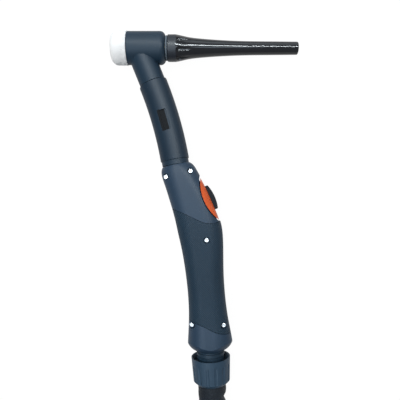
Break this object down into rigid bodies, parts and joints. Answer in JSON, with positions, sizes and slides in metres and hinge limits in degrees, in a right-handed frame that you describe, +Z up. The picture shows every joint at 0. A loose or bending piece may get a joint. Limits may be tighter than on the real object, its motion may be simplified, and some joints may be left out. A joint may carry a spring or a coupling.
{
  "type": "tig torch",
  "caption": "TIG welding torch with angled head, long back cap, curved handle with trigger, ball-jointed cable outlet and a coiled jacketed cable with plug.",
  "frame": {"origin": "middle of the mouth of the collet socket in the front of the head", "axes": "-X along the electrode and out of the collet socket, +X towards the back cap's tip, -Y from the head along the handle to the cable, +Z up from the surface that the torch lies on"},
  "size_m": [0.3754, 0.6645, 0.0864],
  "materials": {
    "head_plastic": "satin",
    "brass": "satin",
    "white_insulator": "satin",
    "sleeve_plastic": "matt",
    "collar_plastic": "matt",
    "shell_plastic": "satin",
    "pad_rubber": "fine dotted texture",
    "screw_steel": "zinc plated",
    "orange_plastic": "satin",
    "button_plastic": "satin",
    "switch_plastic": "matt",
    "hose_rubber": "matt",
    "seal_rubber": "matt",
    "cap_plastic": "gloss",
    "spigot_plastic": "satin",
    "jacket": "woven, slightly wrinkled",
    "tie_strap": "woven hook-and-loop strap",
    "plug_plastic": "matt",
    "nut_plastic": "satin"
  },
  "bodies": {
    "torch": {"head_moulding": "head_plastic", "torch_body": "brass", "nozzle_insulator": "white_insulator", "neck_tube": "brass", "neck_sleeve": "sleeve_plastic", "neck_collar": "collar_plastic", "handle_shell_upper": "shell_plastic", "handle_shell_lower": "shell_plastic", "grip_pad_upper": "pad_rubber", "grip_pad_lower": "pad_rubber", "handle_screws": "screw_steel", "trigger_bezel": "orange_plastic", "trigger_pin": "screw_steel", "microswitch": "switch_plastic", "switch_carrier": "switch_plastic", "hose_nut": "brass", "power_hose": "hose_rubber", "lead_splitter": "hose_rubber", "lead_bundle": "hose_rubber", "control_lead": "hose_rubber"},
    "cap_seal": {"cap_o_ring": "seal_rubber"},
    "back_cap": {"back_cap": "cap_plastic", "cap_stub": "brass"},
    "trigger": {"trigger_button": "button_plastic"},
    "plunger": {"switch_plunger": "switch_plastic"},
    "knuckle": {"ball_spigot": "spigot_plastic", "cable_core": "hose_rubber", "cable_lead": "jacket", "cable_coil": "jacket", "cable_tail": "jacket", "coil_ties": "tie_strap", "plug_boot": "seal_rubber", "plug_body": "plug_plastic", "power_pin": "brass", "pin_o_ring": "seal_rubber", "control_pins": "brass"},
    "clamp": {"clamp_ring": "spigot_plastic"},
    "cable_nut": {"cable_nut": "nut_plastic"},
    "collar_nut": {"collar_nut": "plug_plastic"}
  },
  "joints": [
    {"name": "cap_turn", "type": "hinge", "parent": "cap_seal", "child": "back_cap", "pos_m": [0.0371, 0, 0], "axis": [1, 0, 0], "range_deg": [0, 1450]},
    {"name": "cap_travel", "type": "slide", "parent": "torch", "child": "cap_seal", "axis": [1, 0, 0], "range_m": [0, 0.005]},
    {"name": "trigger_press", "type": "hinge", "parent": "torch", "child": "trigger", "pos_m": [0.06807, -0.12462, 0], "axis": [0, 0, 1], "range_deg": [-5, 0], "stiffness_Nm_per_rad": 0.12, "springref_deg": 14.32},
    {"name": "plunger_slide", "type": "slide", "parent": "torch", "child": "plunger", "axis": [0.9205, 0.3907, 0], "range_m": [-0.0014, 0]},
    {"name": "knuckle_swing", "type": "hinge", "parent": "torch", "child": "knuckle", "pos_m": [0.0743, -0.258, 0], "axis": [0, 0, 1], "range_deg": [-10, 10]},
    {"name": "nut_travel", "type": "slide", "parent": "knuckle", "child": "clamp", "axis": [0.0436, -0.999, 0], "range_m": [0, 0.0071]},
    {"name": "nut_turn", "type": "hinge", "parent": "clamp", "child": "cable_nut", "pos_m": [0.07546, -0.28447, 0], "axis": [0.0436, -0.999, 0], "range_deg": [0, 1260]},
    {"name": "collar_turn", "type": "hinge", "parent": "knuckle", "child": "collar_nut", "pos_m": [0.04885, -0.59164, 0.0487], "axis": [-0.2588, -0.9659, 0], "continuous": true}
  ],
  "couplings": [
    {"joint": "cap_turn", "follows": "cap_travel", "rad_per_m": 5026.5},
    {"joint": "plunger_slide", "follows": "trigger_press", "m_per_rad": 0.0155},
    {"joint": "nut_travel", "follows": "nut_turn", "m_per_rad": 0.00031831}
  ]
}
